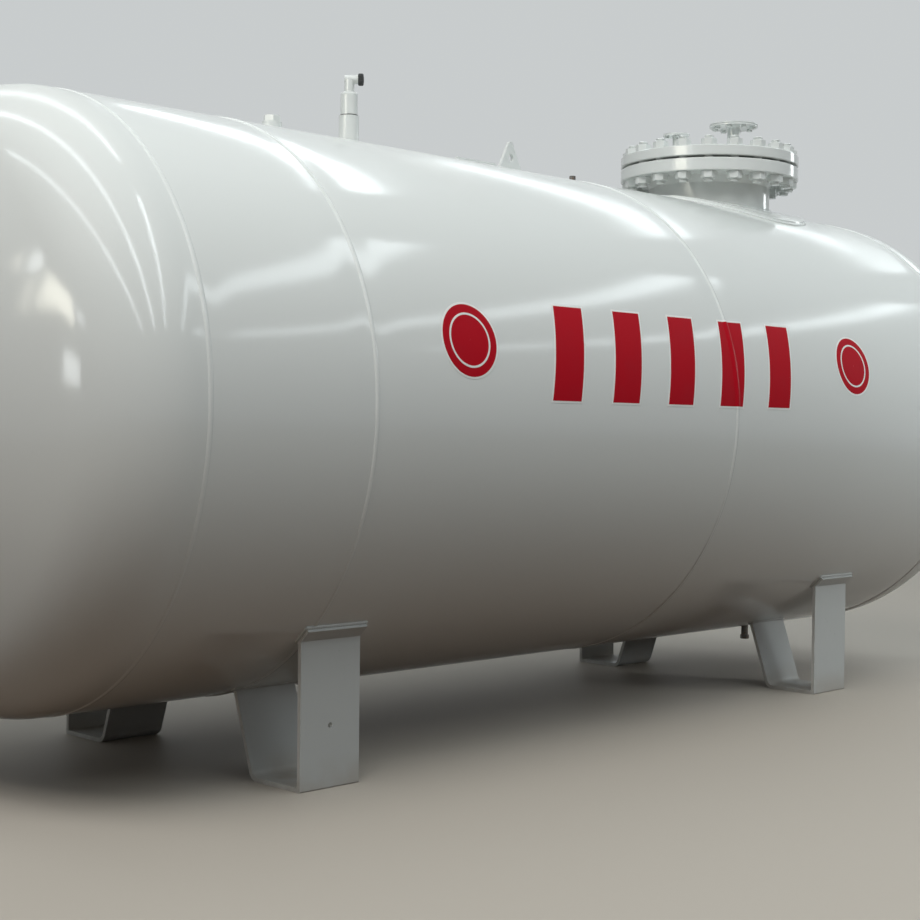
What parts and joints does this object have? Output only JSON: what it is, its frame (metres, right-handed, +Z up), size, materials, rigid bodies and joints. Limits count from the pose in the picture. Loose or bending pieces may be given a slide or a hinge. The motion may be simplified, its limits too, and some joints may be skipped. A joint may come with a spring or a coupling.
{
  "type": "horizontal pressure tank",
  "caption": "Welded steel gas tank lying on folded strip legs, with dished ends, a bolted manhole with nozzles on its cover, and small fittings along the top.",
  "frame": {"origin": "on the floor under the middle of the tank, on its centre line", "axes": "+X along the tank towards the manhole end, +Y to the back, +Z up"},
  "size_m": [4.3724, 1.605, 2.1275],
  "materials": {
    "tank_paint": "gloss white paint",
    "leg_paint": "light grey paint, floor dust on the feet",
    "gasket_rubber": "black sheet",
    "dark_plastic": "black dust cap",
    "dark_steel": "bare dark steel"
  },
  "bodies": {
    "root": {"shell_course_left": "tank_paint", "shell_course_middle": "tank_paint", "shell_course_right": "tank_paint", "head_left": "tank_paint", "head_right": "tank_paint", "girth_weld_1": "tank_paint", "girth_weld_2": "tank_paint", "girth_weld_3": "tank_paint", "girth_weld_4": "tank_paint", "long_weld_left": "tank_paint", "long_weld_middle": "tank_paint", "long_weld_right": "tank_paint", "manhole_pad": "tank_paint", "manhole_neck": "tank_paint", "manhole_flange": "tank_paint", "manhole_cover": "tank_paint", "large_nozzle_pipe": "tank_paint", "large_nozzle_flange": "tank_paint", "large_nozzle_blind": "tank_paint", "small_nozzle_pipe": "tank_paint", "small_nozzle_flange": "tank_paint", "small_nozzle_blind": "tank_paint", "valve_base": "tank_paint", "valve_body": "tank_paint", "top_coupling": "tank_paint", "top_plug": "tank_paint", "lifting_lug": "tank_paint", "lug_strip": "tank_paint", "leg_front_left": "leg_paint", "leg_front_right": "leg_paint", "leg_back_left": "leg_paint", "leg_back_right": "leg_paint", "manhole_gasket": "gasket_rubber", "large_nozzle_gasket": "gasket_rubber", "valve_side_cap": "dark_plastic", "sensor_plug": "dark_steel", "drain_coupling": "dark_steel", "drain_plug": "dark_steel"}
  },
  "joints": []
}
